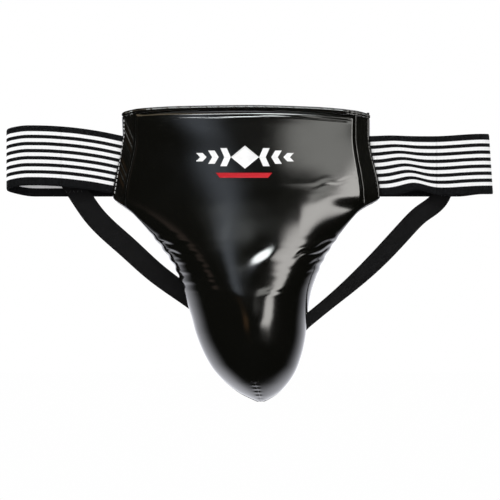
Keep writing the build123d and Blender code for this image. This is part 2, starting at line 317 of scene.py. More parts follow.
def strap_material():
    """Plain black narrow elastic: ribs across and a tighter selvedge along both edges."""
    n = Nodes("black_elastic")
    s = n.attr("along")
    t = n.attr("across")
    v = n.place()
    rib = n.wave(s, 1.1)
    course = n.wave(t, 0.9)
    fuzz = n.noise(v, 1300.0, 2.0)
    color = n.mix(rib, (0.0025, 0.0025, 0.0028), (0.0075, 0.0075, 0.008))
    selvedge = n.ramp(n.math("ABSOLUTE", t), 8.4, 9.2)
    color = n.mix(selvedge, color, (0.004, 0.004, 0.004))
    height = n.total((rib, 0.8), (course, 0.5), (fuzz, 0.6))
    return n.set(color=color, rough=0.85, normal=n.bump(height, 0.0002, 0.6), spec=0.12, sheen=0.015,
                 sheen_rough=0.5)


def cloth_material(name, dark, light, pitch=1.1):
    """Woven cloth whose threads follow the object's own axes."""
    n = Nodes(name)
    v = n.place()
    split = n.add("ShaderNodeSeparateXYZ")
    n.put(split.inputs[0], v)
    warp = n.wave(split.outputs["X"], pitch * MM)
    weft = n.wave(split.outputs["Z"], pitch * MM)
    weave = n.math("ABSOLUTE", n.math("SUBTRACT", warp, weft))
    fuzz = n.noise(v, 1500.0, 2.0)
    cloud = n.noise(v, 22.0, 3.0)
    share = n.math("MULTIPLY", weave, n.math("ADD", 0.5, n.math("MULTIPLY", cloud, 0.8)))
    height = n.math("ADD", weave, n.math("MULTIPLY", fuzz, 0.6))
    return n.set(color=n.mix(share, dark, light), rough=0.88, normal=n.bump(height, 0.0002, 0.6), spec=0.15,
                 sheen=0.06, sheen_rough=0.5)


def hook_loop_material():
    """Dense little loops: cell bumps with a dull nap."""
    n = Nodes("hook_and_loop")
    v = n.place()
    loops = n.cells(v, 900.0)
    nap = n.noise(v, 1800.0, 3.0, 0.7)
    color = n.mix(loops, (0.022, 0.022, 0.023), (0.004, 0.004, 0.004))
    height = n.math("SUBTRACT", n.math("MULTIPLY", nap, 0.6), loops)
    return n.set(color=color, rough=0.95, normal=n.bump(height, 0.0005, 0.9), spec=0.1, sheen=0.15,
                 sheen_rough=0.6)


def thread_material(name, tone):
    """Twisted sewing thread."""
    n = Nodes(name)
    inputs = {"Scale": 900.0, "Distortion": 1.0, "Vector": n.place()}
    strand = n.make("ShaderNodeTexWave", inputs, "Fac", bands_direction="DIAGONAL")
    color = n.mix(strand, tuple(0.55 * c for c in tone), tone)
    return n.set(color=color, rough=0.7, normal=n.bump(strand, 0.00008, 0.5), spec=0.3)


def print_material(name, tone):
    """Printed film: slightly uneven ink over the leather grain."""
    n = Nodes(name)
    v = n.place()
    patch = n.noise(v, 90.0, 4.0, 0.6)
    fine = n.noise(v, 900.0, 2.0)
    color = n.mix(n.ramp(patch, 0.35, 0.75), tone, tuple(0.88 * c for c in tone))
    return n.set(color=color, rough=n.ramp(fine, 0.3, 0.7, 0.38, 0.5), normal=n.bump(fine, 0.00005, 0.2),
                 spec=0.3)


def plastic_material():
    """Moulded polypropylene with a fine spark-eroded texture."""
    n = Nodes("moulded_plastic")
    v = n.place()
    speck = n.noise(v, 700.0, 3.0)
    color = n.mix(n.noise(v, 30.0, 3.0), (0.62, 0.62, 0.6), (0.7, 0.7, 0.68))
    return n.set(color=color, rough=n.ramp(speck, 0.3, 0.7, 0.4, 0.55), normal=n.bump(speck, 0.00005, 0.3))


SKIN = skin_material("glossy_skin", (0.0028, 0.0028, 0.0022), 0.11)
RIM = skin_material("binding_skin", (0.003, 0.003, 0.0026), 0.2)
BAND = band_material()
STRAP = strap_material()
LINING = cloth_material("lining_cloth", (0.004, 0.004, 0.004), (0.022, 0.022, 0.023))
TAPE = cloth_material("edge_tape", (0.003, 0.003, 0.003), (0.014, 0.014, 0.015), 0.8)
# black thread drawn light grey: the grey is a painted highlight that stands for the glints on the left
# border's stitches
PAINTED_HIGHLIGHT_THREAD = thread_material("thread_with_painted_highlight", (0.5, 0.5, 0.5))
DARK_THREAD = thread_material("dark_thread", (0.025, 0.025, 0.025))
WHITE_PRINT = print_material("white_print", (0.93, 0.93, 0.93))
RED_PRINT = print_material("red_print", (0.5, 0.006, 0.014))
PLASTIC = plastic_material()
HOOK = hook_loop_material()

# ------------------------------------------------------------------ shape of the guard
MIDDLE_X = 4.0           # highest point of the top edge
TOP_LINE = curve_through([-124, -107, -62, MIDDLE_X, 65, 109, 124],
                         [54.0, 57.6, 60.1, 61.0, 59.4, 55.6, 51.8])
HEM_Z = -31.5            # lowest corner of the sewn side borders
# height, left edge, right edge
OUTLINE = [(TIP_Z, 14.7, 14.7), (-232, 6.3, 22.7), (-223, -10.7, 35.7), (-199, -34.7, 51.7),
           (-167, -49.7, 59.7), (-151, -54, 61), (-127, -61.8, 64.6), (-103, -70, 73), (-87, -79.7, 81),
           (-47, -113, 110.4), (-40, -122, 119.5), (HEM_Z, -132.5, 133.5), (HEM_Z + 3, -133, 134),
           (31, -123, 123.5), (62, -124, 123.5)]
# height, forward reach of the middle of the guard
PROFILE = [(-236, 12), (-228, 27), (-214, 42), (-196, 53), (-172, 60.5), (-148, 63), (-130, 62.6),
           (-124, 62.1), (-119, 61.1), (-96, 54.6), (-50, 40.6), (-30, 35), (-18, 32.5), (5, 29.3),
           (40, 26.5), (66, 22)]
CUP_EDGE = 0.6 - BACK_Y  # forward reach of the skin where it meets the back
FLANGE_Y = 12.8          # forward reach of the flat side border
PAD_STEP = 3.2           # how far the padding stands up beside the border
PAD_ROLL = 3.8           # width of the rounded shoulder of the padding
PAD_LEFT = curve_through([-60, HEM_Z, 31, 62], [-118, -121.5, -111.3, -111.6])
PAD_RIGHT = curve_through([-60, HEM_Z, 31, 62], [113, 117, 109, 109.5])
TOP_CREASE = 11.0        # drop of the fold below the top edge

# folds of the skin: start, end, width, depth
CREASES = [
    ((-87, -76), (-66, -79), 1.3, 0.8), ((-82, -84), (-63, -88), 1.2, 1.2),
    ((-77, -92), (-64, -94), 1.2, 1.1), ((-73, -101), (-62, -102), 1.2, 0.9),
    ((-69, -110), (-60, -109), 1.1, 0.6), ((-66, -118), (-59, -117), 1.0, 0.4),
    ((90, -73), (48, -89), 1.4, 1.3), ((86, -80), (56, -93), 1.3, 1.2),
    ((78, -92), (62, -98), 1.2, 0.8), ((72, -104), (60, -107), 1.2, 0.5),
    ((110, -12), (64, -20), 1.6, 0.25), ((38, -123), (19, -125.5), 1.3, 0.12),
]


def rounded(z):
    """Height above the tip on a square-root scale, so the tip closes round."""
    return np.sqrt(np.clip(np.asarray(z, float) - TIP_Z, 0, None))


EDGE_Z, LEFT_X, RIGHT_X = zip(*OUTLINE)
left_curve = curve_through(rounded(EDGE_Z), LEFT_X)
right_curve = curve_through(rounded(EDGE_Z), RIGHT_X)
middle_reach = curve_through(*zip(*PROFILE))


def scallop(z, low, high):
    """Slight waviness of the outline where the skin is gathered at the neck."""
    return 0.7 * np.sin(z * 0.62) * smooth(low, low + 12, z) * (1 - smooth(high - 12, high, z))


def edge_left(z):
    return left_curve(rounded(z)) + scallop(z, -128, -62)


def edge_right(z):
    return right_curve(rounded(z)) - 0.6 * scallop(z, -112, -62)


def edge_distance(x, z):
    """How far a point lies inside the nearer side edge."""
    return np.minimum(x - edge_left(z), edge_right(z) - x)


def fold_depth(x, z):
    """Grooves and the small ridges beside them."""
    total = np.zeros_like(x)
    for (ax, az), (bx, bz), width, depth in CREASES:
        length = math.hypot(bx - ax, bz - az)
        ux, uz = (bx - ax) / length, (bz - az) / length
        s = (x - ax) * ux + (z - az) * uz
        bend = 0.9 * np.sin(s * 0.25 + ax)
        d = (z - az) * ux - (x - ax) * uz - bend
        window = smooth(-5, 3, s) * (1 - smooth(length * 0.4, length + 6, s))
        groove = np.exp(-((d / width) ** 2))
        ridge = 0.6 * np.exp(-(((np.abs(d) - 2.4 * width) / (1.3 * width)) ** 2))
        total += depth * window * (groove - ridge)
    return total


def dart_x(z):
    """The closing seam that runs up from the tip."""
    return np.interp(z, [TIP_Z, -213, -193, -172], [15, 8, 3.4, -2.5])


def up_to_top(level, x):
    """Bend a level line of the guard to follow the arched top edge as it comes near it."""
    return level + smooth(14, 50, level) * (TOP_LINE(x) - TOP_LINE(MIDDLE_X))


def cup_depth(x, z):
    """Lower part: one full bulge from edge to edge, fullest at the neck."""
    left, right = edge_left(z), edge_right(z)
    u = np.clip((x - (left + right) / 2) / ((right - left) / 2), -1, 1)
    fullness = 2.2 - 0.25 * smooth(-112, -138, z) + 0.5 * smooth(-48, -98, z) * (1 - smooth(-104, -150, z))
    return CUP_EDGE + (middle_reach(z) - CUP_EDGE) * (1 - np.abs(u) ** fullness) ** 0.5


def panel_depth(x, z):
    """Upper part: an arched pad that rolls down to a flat sewn border, turned under at its outer edge."""
    pad_l, pad_r = PAD_LEFT(z), PAD_RIGHT(z)
    v = (2 * x - pad_l - pad_r) / (pad_r - pad_l)
    v = v - np.interp(z, [-80, -18, 15, 45], [0.02, 0.09, 0, -0.09]) * (1 - v * v)
    beside = np.minimum(x - pad_l, pad_r - x)
    roll = 1 - (1 - np.clip(beside / PAD_ROLL, 0, 1)) ** 2
    below = TOP_LINE(x) - 5.2 - z
    closing = 1 - (1 - np.clip(below / 5, 0, 1)) ** 2
    arch = (middle_reach(z) - FLANGE_Y - PAD_STEP) * (1 - np.clip(np.abs(v), 0, 1) ** 2.1)
    outer = edge_distance(x, z)
    turn = 1 - np.sqrt(np.clip(1 - (1 - np.clip(outer / 2.2, 0, 1)) ** 2, 0, 1))
    creased = (x < 0) & (beside < 0) & (outer > 1)
    ripple = 0.1 * np.sin(z * 0.34 + x * 0.8 + 2.5 * np.sin(z * 0.13 + x * 0.3))
    step = PAD_STEP * roll * (0.3 + 0.7 * closing)
    return FLANGE_Y + step + arch * (0.62 + 0.38 * closing) - 3.4 * turn + ripple * creased


def front_depth(x, z):
    """How far the skin stands in front of the body plane, before folds."""
    share = 1 - smooth(-84, HEM_Z + 1, z)
    depth = panel_depth(x, z) * (1 - share) + cup_depth(x, z) * share
    # fold under the top edge
    crease = TOP_LINE(x) - TOP_CREASE - z + 0.7 * np.sin(x * 0.05)
    depth -= 0.55 * np.exp(-((crease / 1.1) ** 2)) * smooth(-110, -98, x) * (1 - smooth(96, 108, x))
    # slack shoulder above the neck on the wearer's left
    sunk = smooth(-88, -66, z) * (1 - smooth(-44, -27, z)) * smooth(52, 112, x)
    depth -= 0.24 * sunk * np.clip(depth - CUP_EDGE, 0, None)
    # slanting dimple in the middle of the cup
    lengthwise, across = 0.76 * (x - 15.5) + 0.65 * (z + 90), 0.76 * (z + 90) - 0.65 * (x - 15.5)
    depth -= 0.16 * across * np.exp(-((across / 9.0) ** 2) - (lengthwise / 14) ** 2)
    # closing seam at the tip and its puckers
    aside = x - dart_x(z)
    seam = np.exp(-((aside / 0.8) ** 2)) * (1 - smooth(-176, -170, z))
    pucker = 0.35 * np.sin(z * 1.7) * np.exp(-((aside / 3.5) ** 2)) * (1 - smooth(-219, -213, z))
    return depth - (0.25 + 0.55 * (1 - smooth(-220, -212, z))) * seam + pucker


def front_y(x, z):
    """Front surface of the guard with its folds."""
    x = np.asarray(x, float)
    z = np.asarray(z, float)
    return fold_depth(x, z) * smooth(0.0, 3.0, edge_distance(x, z)) - front_depth(x, z)


# ------------------------------------------------------------------ front skin
def build_cover():
    """One sheet of skin over the belly pad and the cup, turned under at the edges."""
    rows, cols = 340, 300
    top = 55.6
    share = np.linspace(0, 1, rows)
    levels = TIP_Z + 0.05 + (top - TIP_Z) * (1 - share) ** 1.35
    s = np.linspace(-1, 1, cols)
    grid = np.zeros((rows, cols, 3))
    for j, level in enumerate(levels):
        left, right = edge_left(level), edge_right(level)
        round_part = 1 - smooth(-80, -30, level)
        flat = 0.7 * s + 0.3 * np.sin(s * math.pi / 2)
        u = (1 - round_part) * flat + round_part * np.sin(s * math.pi / 2)
        x = (left + right) / 2 + (right - left) / 2 * u
        z = up_to_top(level, x)
        grid[j] = np.stack([x, front_y(x, z), z], axis=1)
    lips = []
    for column, inward in ((0, 1.5), (-1, -1.5)):
        lip = grid[:, column].copy()
        lip[:, 0] += inward
        lip[:, 1] = BACK_Y + 0.1
        lips.append(lip[:, None])
    grid = np.concatenate([lips[0], grid, lips[1]], axis=1)
    obj = make_object("cover", grid.reshape(-1, 3), grid_faces(rows, cols + 2))
    paint(obj, SKIN)
    settle(obj, "guard", "glossy_black_skin", "front_cover", "belly_foam", "cup_foam")


def build_binding():
    """Rolled edging over the top: two fine welts in front, a soft round on top."""
    around, back, half_high = 32, 6.6, 2.6
    xs = np.linspace(-123.9, 123.6, 260)
    rings = []
    for x, z in zip(xs, TOP_LINE(xs)):
        end = math.sqrt(max(0.04, 1 - max(0.0, (abs(x) - 119.5) / 4.6) ** 2))
        front = 18.4 - 4.6 * float(smooth(98, 114, abs(x)))
        puff = 0.12 * math.sin(x * 0.47) + 0.08 * math.sin(x * 1.13)
        for k in range(around):
            a = 2 * math.pi * k / around
            c, d = math.cos(a), math.sin(a)
            depth = math.copysign(abs(c) ** 0.55, c) * (front - back) / 2
            height = math.copysign(abs(d) ** 0.6, d) * half_high
            welt = 0.55 * math.cos(2 * math.pi * height / 2.5) if c > 0 else 0.0
            rings.append((x, -(front + back) / 2 - depth * end - welt - puff, z - 2.7 + height * end))
    obj = make_object("binding", rings, tube_faces(len(xs), around))
    paint(obj, RIM)
    settle(obj, "guard", "glossy_black_skin", "top_binding")


def quad_patch(corners, steps, lift, thick):
    """Closed thin film over the skin between four corners given as (x, z)."""
    a, b, c, d = (np.array(p, float) for p in corners)
    verts = []
    for level in (lift + thick, lift):
        for j in range(steps + 1):
            for i in range(steps + 1):
                u, v = i / steps, j / steps
                p = (1 - u) * (1 - v) * a + u * (1 - v) * b + u * v * c + (1 - u) * v * d
                verts.append((p[0], float(front_y(p[0], p[1])) - level, p[1]))
    return verts, sheet_faces(steps + 1)


def build_film(name, quads, material, slot, node):
    """Printed patches in one colour."""
    verts, faces = [], []
    for corners in quads:
        v, f = quad_patch(corners, 10, 0.06, 0.14)
        faces += [tuple(i + len(verts) for i in face) for face in f]
        verts += v
    obj = make_object(name, verts, faces)
    paint(obj, material)
    settle(obj, "guard", slot, node)


def build_ornament():
    """Plain geometric print: a lozenge between tapering chevrons, with a short bar below."""
    centre, height, half_wide, half_high = -1.0, 8.5, 14, 11.5
    white = [[(centre - half_wide, height), (centre, height + half_high), (centre + half_wide, height),
              (centre, height - half_high)]]
    for side in (-1, 1):
        for k in range(3):
            x = centre + side * (18 + 12 * k)
            tall = 9 - 2.4 * k
            for up in (-1, 1):
                quad = [(x - side * 4, height), (x, height + up * tall), (x + side * 6.5, height + up * tall),
                        (x + side * 2.5, height)]
                white.append(quad if up * side < 0 else quad[::-1])
    build_film("print_white", white, WHITE_PRINT, "white_print", "ornament_white")
    red = [[(centre - 29, -7), (centre + 27, -7), (centre + 23, -12), (centre - 25, -12)]]
    build_film("print_red", red, RED_PRINT, "red_print", "ornament_red")


# ------------------------------------------------------------------ sewing thread
def build_stitches(name, marks, material, body, node, length=2.8, radius=0.38):
    """Rounded thread stitches. marks: (middle, direction, outward) in millimetres."""
    verts, faces = [], []
    around, along = 7, 7
    for middle, direction, outward in marks:
        d = Vector(direction).normalized()
        out = Vector(outward).normalized()
        side = d.cross(out).normalized()
        start = len(verts)
        for j in range(along):
            t = 2 * j / (along - 1) - 1
            r = radius * math.sqrt(max(0.02, 1 - t ** 4))
            c = Vector(middle) + d * (t * length / 2) - out * (0.45 * radius * t * t)
            for i in range(around):
                a = 2 * math.pi * i / around
                verts.append(c + (side * math.cos(a) + out * math.sin(a)) * r)
        faces += tube_faces(along, around, start)
    obj = make_object(name, verts, faces)
    paint(obj, material)
    settle(obj, body, "black_thread", node)


def run_marks(points, pitch, surface, outward=(0, -1, 0)):
    """Even marks along a polyline of (x, z); surface gives y."""
    marks = []
    for (ax, az), (bx, bz) in zip(points, points[1:]):
        length = math.hypot(bx - ax, bz - az)
        for k in range(int(length // pitch)):
            f = (k + 0.5) / (length // pitch)
            x, z = ax + (bx - ax) * f, az + (bz - az) * f
            marks.append(((x, surface(x, z), z), (bx - ax, 0, bz - az), outward))
    return marks


def on_skin(x, z):
    """Where a thread lies on the skin."""
    return float(front_y(x, z)) - 0.1


def build_seams():
    """Rows along both side borders and short bars across the closing seam at the tip."""
    left = [(-121.6, 47), (-121.3, 31), (-131.0, -28)]
    right = [(120.6, 46), (120.8, 31), (131.4, -27)]
    pitch = 3.9
    # the left border's stitches use the light grey thread, a painted highlight on what is black thread
    build_stitches("left_border_stitching", run_marks(left, pitch, on_skin), PAINTED_HIGHLIGHT_THREAD, "guard",
                   "left_seam_stitches", 2.9, 0.5)
    build_stitches("right_border_stitching", run_marks(right, pitch, on_skin), DARK_THREAD, "guard",
                   "right_seam_stitches", 2.8, 0.45)
    tip = []
    for k in range(5):
        z = -213.5 - 3.5 * k
        for side in (-1, 1):
            x = float(dart_x(z)) + side * 2.1
            tip.append(((x, on_skin(x, z), z), (1, 0, 0.15 * side), (0, -1, -0.6)))
    build_stitches("tip_seam_stitching", tip, DARK_THREAD, "guard", "tip_stitches", 2.3, 0.34)


# ------------------------------------------------------------------ soft back of the guard
def egg(x, z):
    """1 on the rim of the cup, less inside."""
    return np.hypot((x - CUP_X) / CUP_HALF_X, (z - CUP_Z) / CUP_HALF_Z)


def hem_distance(x, z):
    """How far a point of the lining is from its nearest sewn edge."""
    return np.minimum(edge_distance(x, z), TOP_LINE(x) - 6 - z)


def back_y(x, z):
    """Padded lining with a rolled ring around the cup and the bowl inside it."""
    inside = hem_distance(x, z)
    ring = egg(x, z)
    room = 0.9 + 3.4 * smooth(-80, -30, z)
    cushion = room * (1 - (1 - np.clip(inside / 16, 0, 1)) ** 2) * smooth(1.14, 1.5, ring)
    seam = 0.9 * np.exp(-(((inside - 9) / 1.0) ** 2)) * smooth(-40, -20, z)
    roll = 2.4 * np.exp(-(((ring - 1.04) / 0.075) ** 2)) * (0.55 + 0.45 * smooth(-150, -120, z))
    bowl = 36 * np.sqrt(np.clip(1 - np.clip(ring / 0.93, 0, 1) ** 2.6, 0, 1))
    wrinkle = 0.25 * np.sin(x * 0.16 + z * 0.05) * np.sin(z * 0.11) * smooth(1.2, 1.6, ring)
    return LINING_Y + 0.1 + cushion - seam + roll - bowl + wrinkle


def drape(obj, held, growth, push, frames):
    """Cloth simulation: the sheet grows by a share of its size, is pushed outward and buckles between the
    points where it is held. Returns its points before and how far each one moved, in millimetres."""
    rest = np.array([v.co for v in obj.data.vertices])
    group = obj.vertex_groups.new(name="sewn")
    for index, weight in enumerate(held):
        group.add([index], float(weight), "REPLACE")
    modifier = obj.modifiers.new("cloth", "CLOTH")
    cloth = modifier.settings
    cloth.quality = 6
    cloth.mass = 0.15
    cloth.tension_stiffness = cloth.compression_stiffness = 20
    cloth.shear_stiffness = 8
    cloth.bending_stiffness = 1.5
    cloth.vertex_group_mass = "sewn"
    cloth.shrink_min = -growth
    cloth.use_pressure = True
    cloth.uniform_pressure_force = push
    cloth.effector_weights.gravity = 0
    modifier.point_cache.frame_end = frames
    for number in range(1, frames + 1):
        bpy.context.scene.frame_set(number)
    shaped = obj.evaluated_get(bpy.context.evaluated_depsgraph_get()).to_mesh()
    moved = np.array([v.co for v in shaped.vertices]) - rest
    obj.modifiers.remove(modifier)
    obj.vertex_groups.remove(group)
    bpy.context.scene.frame_set(1)
    return rest / MM, moved / MM


def build_back():
    """Lining over the whole back of the guard, shaped first and then draped."""
    rows, cols = 140, 110
    top = 55.0
    levels = TIP_Z + 1.6 + (top - TIP_Z - 1.6) * (1 - np.linspace(0, 1, rows)) ** 1.2
    s = np.linspace(-1, 1, cols)
    grid = np.zeros((rows, cols, 3))
    for j, level in enumerate(levels):
        left, right = edge_left(level) + 1.0, edge_right(level) - 1.0
        x = (left + right) / 2 + (right - left) / 2 * s
        z = up_to_top(level, x)
        grid[j] = np.stack([x, back_y(x, z), z], axis=1)
    obj = make_object("back_lining", grid.reshape(-1, 3), [f[::-1] for f in grid_faces(rows, cols)])
    x, _, z = grid.reshape(-1, 3).T
    held = np.maximum(1 - smooth(2.5, 6, hem_distance(x, z)), 1 - smooth(1.1, 1.22, egg(x, z)))
    rest, moved = drape(obj, held, growth=0.09, push=0.6, frames=20)
    # soft limits of the movement: outward least under the anchor patch, inward and sideways small
    under_patch = smooth(-206, -196, z) * (1 - smooth(-160, -150, z))
    outward = (2.2 + 1.6 * smooth(-130, -90, z)) * (1 - 0.9 * under_patch)
    inward, sideways = 1.2, 1.4
    limit = np.full_like(moved, sideways)
    limit[:, 1] = np.where(moved[:, 1] > 0, outward, inward)
    places = rest + limit * np.tanh(moved / limit)
    obj.data.vertices.foreach_set("co", (places * MM).ravel())
    obj.data.update()
    obj.modifiers.new("smooth", "SUBSURF").render_levels = 1
    paint(obj, LINING)
    settle(obj, "guard", "black_cloth", "rear_lining", "cup_lining", "cup_rim_pad")


def build_hem():
    """Folded tape that closes the skin and the lining around the back edge."""
    around, inset = 14, 1.7
    levels = TIP_Z + 1.0 + (52.5 - TIP_Z) * np.linspace(1, 0, 150) ** 1.6
    left = [(edge_left(z) + inset, z) for z in levels]
    right = [(edge_right(z) - inset, z) for z in levels[::-1]]
    path = np.array(left + right[1:])
    tangent = np.gradient(path, axis=0)
    tangent /= np.linalg.norm(tangent, axis=1)[:, None]
    verts = []
    for (x, z), (tx, tz) in zip(path, tangent):
        for i in range(around):
            a = 2 * math.pi * i / around
            p, q = 2.4 * math.cos(a), 0.85 * math.sin(a)
            verts.append((x - tz * p * 0.55, LINING_Y - 0.2 + q, z + tx * p * 0.55))
    obj = make_object("back_hem_tape", verts, tube_faces(len(path), around))
    paint(obj, TAPE)
    settle(obj, "guard", "black_cloth")


# ------------------------------------------------------------------ flat sewn patches
def build_patch(name, node, material, body, slot, corner=8.0, puff=0.15):
    """Rounded textile patch in the box of its CAD node."""
    low, high = (np.array(c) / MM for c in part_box(node))
    (cx, cy, cz), (hx, hy, hz) = (low + high) / 2, (high - low) / 2
    n = 41
    verts = []
    for side in (-1, 1):
        for j in range(n):
            for i in range(n):
                u, v = 2 * i / (n - 1) - 1, 2 * j / (n - 1) - 1
                m = max(abs(u), abs(v))
                r = (abs(u) ** corner + abs(v) ** corner) ** (1 / corner)
                k = m / r if r > 0 else 0.0
                edge = math.sqrt(max(0.0, 1 - m ** 14))
                wave = puff * math.sin(u * 9) * math.sin(v * 7) * (1 - m)
                verts.append((cx + hx * u * k, cy + side * hy * (0.25 + 0.75 * edge) + wave, cz + hz * v * k))
    obj = make_object(name, verts, sheet_faces(n))
    attribute(obj, "along", [v[0] for v in verts])
    attribute(obj, "across", [v[2] - cz for v in verts])
    paint(obj, material)
    settle(obj, body, slot, node)


# ------------------------------------------------------------------ striped waistband
END_RADIUS = 8.0         # corners of the closure tab
STRIPE_SHIFT = 1.2       # the stripes sit a little above the middle of the band


def turn_points(side, centre_x):
    """Plan path of one turn of the loop, from the front layer to the rear layer."""
    radius = (REAR_Y - BAND_Y) / 2
    return [(centre_x + side * radius * math.sin(a), (REAR_Y + BAND_Y) / 2 - radius * math.cos(a))
            for a in np.linspace(0, math.pi, 26)]


def line_points(a, b, y, step=1.6):
    """Plan path of a straight length of band."""
    n = max(2, int(abs(b - a) / step) + 1)
    return [(x, y) for x in np.linspace(a, b, n)]


def path_length(path):
    """Length along a path up to each of its points."""
    path = np.asarray(path, float)
    return np.concatenate([[0], np.cumsum(np.linalg.norm(np.diff(path, axis=0), axis=1))])


def left_lift(x, y, t, s):
    """The front layer climbs away from the guard in an arc and comes down around the turn."""
    climb = 1 - (1 - np.clip((s - 3) / 91, 0, 1)) ** 2
    return 10.9 * climb * (1 - smooth(98, 156, s))


def right_lift(x, y, t, s):
    """A loose wave beside the guard, deepest along the lower edge."""
    if y > FOLD_Y:
        return 2.4 * smooth(212, 238, x)
    low = BAND_HALF - t
    wave = (0.8 + 0.088 * low) * np.exp(-(((x - 144 - 0.45 * low) / 16.0) ** 2))
    return wave + 2.4 * smooth(185, 240, x)


def no_lift(x, y, t, s):
    return 0.0


def right_lean(x, t):
    """The right turn of the loop stands further out along its lower edge."""
    return -2.0 * (1 + t / BAND_HALF) * smooth(185, 242, x)


def no_lean(x, t):
    return 0.0


def build_ribbon(name, path, lift=no_lift, lean=no_lean, start=0, stop=None, round_end=False):
    """A flat band along a plan path; the weave carries on from piece to piece."""
    whole = path_length(path)
    stop = len(path) if stop is None else stop
    part = np.asarray(path[start:stop], float)
    along = whole[start:stop]
    tangent = np.gradient(part, axis=0)
    tangent /= np.linalg.norm(tangent, axis=1)[:, None]
    ring = flat_ring(44)
    verts, s_values, t_values = [], [], []
    for (x, y), (tx, ty), s in zip(part, tangent, along):
        half = BAND_HALF
        if round_end:
            ahead = (along[-1] - s) / END_RADIUS
            half -= END_RADIUS * (1 - math.sqrt(max(0.0, 1 - max(0.0, 1 - ahead) ** 2)))
        for share, side in ring:
            t = share * half
            off = side * BAND_THICK / 2 * edge_share(half - abs(t), 0.8)
            verts.append((x + ty * off + float(lean(x, t)), y - tx * off, t + float(lift(x, y, t, s))))
            s_values.append(s)
            t_values.append(t - STRIPE_SHIFT)
    obj = make_object(name, verts, tube_faces(len(part), len(ring), flip=True))
    attribute(obj, "along", s_values)
    attribute(obj, "across", t_values)
    paint(obj, BAND)
    return obj


def cut(path, x, front):
    """Index of the path point nearest to x on the front or the rear layer."""
    spots = [(abs(px - x), i) for i, (px, py) in enumerate(path) if (py < FOLD_Y) == front]
    return min(spots)[1]


def bend(obj, slot, first, second, start, end, *nodes):
    """Bake a piece's place into its points and hide the CAD nodes that it stands for; the two bodies and the
    two places it is given are not used.
    """
    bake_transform(obj)
    stand_for(obj, slot, *nodes)


def build_band():
    """The whole waistband, in lengths that each cross one joint."""
    slot = "striped_elastic"
    left = line_points(-119, LEFT_FOLD, BAND_Y) + turn_points(-1, LEFT_FOLD)[1:]
    left += line_points(LEFT_FOLD, -END_X, REAR_Y)[1:]
    right = line_points(119, RIGHT_FOLD, BAND_Y) + turn_points(1, RIGHT_FOLD)[1:]
    right += line_points(RIGHT_FOLD, END_X, REAR_Y)[1:]
    turn_start, turn_end = (0, BAND_Y + 1.2, 0), (0, REAR_Y - 1.2, 0)
    a, b = cut(left, -185, True), cut(left, -120, False)
    bend(build_ribbon("band_left_front", left, left_lift, no_lean, 0, a + 1), slot, "guard", "left_side",
         (-133, 0, 0), (-147, 0, 0), "band_left_tab", "band_left_side")
    bend(build_ribbon("band_left_turn", left, left_lift, no_lean, a, b + 1), slot, "left_side", "left_rear",
         turn_start, turn_end, "band_left_fold", "band_left_rear")
    c, d = cut(right, 190, True), cut(right, 120, False)
    bend(build_ribbon("band_right_front", right, right_lift, right_lean, 0, c + 1), slot, "guard",
         "right_side", (134, 0, 0), (148, 0, 0), "band_right_tab", "band_right_side")
    bend(build_ribbon("band_right_turn", right, right_lift, right_lean, c, d + 1), slot, "right_side",
         "right_rear", turn_start, turn_end, "band_right_fold", "band_right_rear")
    # the left end steps outward over the right end and carries on as the closure tab
    step = [(x, REAR_Y + (TAB_Y - REAR_Y) * float(smooth(-60, -45, x))) for x in np.linspace(-61, -43.2, 13)]
    bend(build_ribbon("band_left_end_cloth", left[b:] + step), slot, "left_rear", "left_end",
         (-70, 0, 0), (-58, 0, 0), "band_left_end")
    tab = line_points(PEEL_X - 0.2, TAB_END, TAB_Y)
    bend(build_ribbon("closure_tab_cloth", tab, round_end=True), slot, "left_end", "closure",
         (PEEL_X - 0.2, 0, 0), (PEEL_X + 7, 0, 0), "closure_tab")
    right_end = right[d:] + line_points(END_X - 2, RIGHT_END_STOP, REAR_Y)
    bend(build_ribbon("band_right_end_cloth", right_end), slot, "right_rear", "right_end",
         (70, 0, 0), (56, 0, 0), "band_right_end")


# ------------------------------------------------------------------ leg straps
def spline(t, v):
    """Natural cubic spline."""
    n = len(t)
    h = np.diff(t)
    a = np.eye(n)
    r = np.zeros(n)
    for i in range(1, n - 1):
        a[i, i - 1:i + 2] = h[i - 1], 2 * (h[i - 1] + h[i]), h[i]
        r[i] = 3 * ((v[i + 1] - v[i]) / h[i] - (v[i] - v[i - 1]) / h[i - 1])
    c = np.linalg.solve(a, r)
    b = (v[1:] - v[:-1]) / h - h * (2 * c[:-1] + c[1:]) / 3
    d = (c[1:] - c[:-1]) / (3 * h)

    def f(x):
        i = np.clip(np.searchsorted(t, x) - 1, 0, n - 2)
        s = x - t[i]
        return v[i] + s * (b[i] + s * (c[i] + s * d[i]))

    return f


STRAP_LOW_Y = -3.2       # middle of a strap at the anchor behind the cup
STRAP_HIGH_Y = 4.2       # middle of a strap under the rear layer of the waistband
STRAP_HALF_THICK = 0.62


